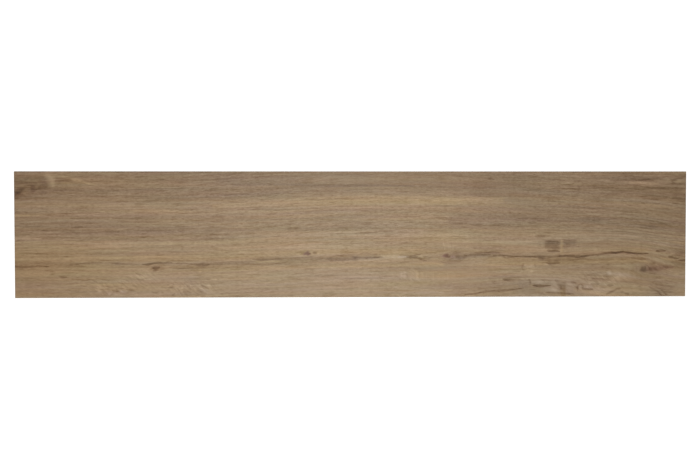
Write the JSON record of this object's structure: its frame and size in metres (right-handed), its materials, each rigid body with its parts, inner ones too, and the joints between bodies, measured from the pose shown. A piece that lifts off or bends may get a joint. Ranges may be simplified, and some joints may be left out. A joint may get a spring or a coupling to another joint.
{
  "type": "vinyl floor plank",
  "caption": "Thin rectangular glue-down vinyl floor plank with an oak-look wear face, square-cut edges and a fine micro-bevel, laid flat face up.",
  "frame": {"origin": "middle of the back face, which lies on the floor", "axes": "+X along the plank's length and its grain, +Y across its width, +Z out of the wear face"},
  "size_m": [1.2192, 0.2286, 0.0025],
  "materials": {
    "oak_print_vinyl": "matte"
  },
  "bodies": {
    "root": {"plank": "oak_print_vinyl"}
  },
  "joints": []
}
